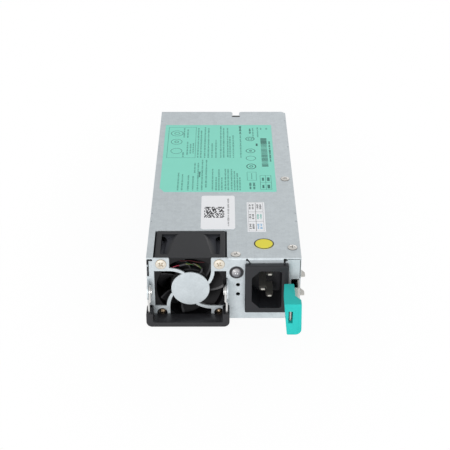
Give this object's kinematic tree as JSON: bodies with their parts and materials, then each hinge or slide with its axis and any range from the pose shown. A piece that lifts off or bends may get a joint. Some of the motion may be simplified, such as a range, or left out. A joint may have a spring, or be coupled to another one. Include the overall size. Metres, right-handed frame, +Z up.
{
  "type": "hot swap server power supply",
  "caption": "Sheet-metal server power supply that slides into a bay: guarded fan, mains inlet, swinging handle, sprung release latch with a teal tab and a card-edge output.",
  "frame": {"origin": "centre of the case's underside, on the surface that it rests on", "axes": "+X right seen from the front, +Y from the front face to the rear edge connector, +Z up"},
  "size_m": [0.0882, 0.2279, 0.0409],
  "materials": {
    "galvanised_steel": "galvanised sheet, satin",
    "nickel_screws": "nickel plated",
    "black_plastic": "matte",
    "brass": "turned",
    "core_steel": "laminated",
    "copper": "enamelled wire",
    "bright_steel": "bright",
    "magnet": "bonded ferrite",
    "inlet_plastic": "matte",
    "plated_blades": "nickel plated",
    "lamp_lens": "frosted lens",
    "grip_plastic": "fine texture",
    "spring_steel": "plated spring steel",
    "teal_plastic": "satin",
    "board_green": "solder mask",
    "gold": "gold plated",
    "film": "polyester film",
    "ferrite": "sintered",
    "capacitor_yellow": "box capacitor",
    "disc_blue": "dipped",
    "ceramic": "ceramic",
    "can_sleeve": "shrink sleeve",
    "aluminium": "extruded",
    "device_black": "moulded",
    "winding_tape": "tape",
    "can_aluminium": "can",
    "connector_white": "nylon",
    "lead_red": "insulated wire",
    "label_mint": "printed film",
    "label_white": "printed label",
    "label_yellow": "printed film",
    "print_ink": "printed ink"
  },
  "bodies": {
    "housing": {"top_cover": "galvanised_steel", "chassis_tray": "galvanised_steel", "rear_panel": "galvanised_steel", "fan_divider": "galvanised_steel", "cover_screws": "nickel_screws", "fan_frame": "black_plastic", "fan_screws": "nickel_screws", "bearing_sleeve": "brass", "fan_stator": "core_steel", "fan_coils": "copper", "inlet_housing": "inlet_plastic", "inlet_blades": "plated_blades", "lamp_holder": "black_plastic", "status_lamp": "lamp_lens", "handle_rivets": "bright_steel", "latch_foot": "spring_steel", "latch_rivets": "bright_steel", "main_board": "board_green", "edge_contacts": "gold", "standoffs": "brass", "board_screws": "nickel_screws", "insulating_film": "film", "filter_choke_core": "ferrite", "filter_choke_windings": "copper", "filter_capacitors": "capacitor_yellow", "disc_capacitors": "disc_blue", "fuse_tube": "ceramic", "fuse_caps": "bright_steel", "inrush_relay": "black_plastic", "boost_choke_core": "ferrite", "boost_choke_windings": "copper", "bulk_capacitors": "can_sleeve", "primary_heatsink": "aluminium", "primary_transistors": "device_black", "output_heatsink": "aluminium", "output_transistors": "device_black", "transformer_core": "ferrite", "transformer_winding": "winding_tape", "output_inductor": "ferrite", "output_capacitors": "can_aluminium", "control_card": "board_green", "card_header": "black_plastic", "card_chips": "device_black", "fan_plug": "connector_white", "fan_leads": "lead_red"},
    "fan_rotor": {"fan_impeller": "black_plastic", "rotor_shaft": "bright_steel", "magnet_ring": "magnet"},
    "handle": {"handle_grip": "grip_plastic", "handle_arm_left": "bright_steel", "handle_arm_right": "bright_steel"},
    "latch": {"latch_strip": "spring_steel", "latch_tab": "teal_plastic"}
  },
  "joints": [
    {"name": "fan_spin", "type": "hinge", "parent": "housing", "child": "fan_rotor", "pos_m": [-0.0185, -0.092, 0.02], "axis": [0, 1, 0], "continuous": true},
    {"name": "handle_swing", "type": "hinge", "parent": "housing", "child": "handle", "pos_m": [-0.0199, -0.099, 0.021], "axis": [-1, 0, 0], "range_deg": [0, 90]},
    {"name": "latch_flex", "type": "hinge", "parent": "housing", "child": "latch", "pos_m": [0.04115, -0.033, 0.01925], "axis": [0, 0, -1], "range_deg": [0, 2.9], "stiffness_Nm_per_rad": 8}
  ]
}
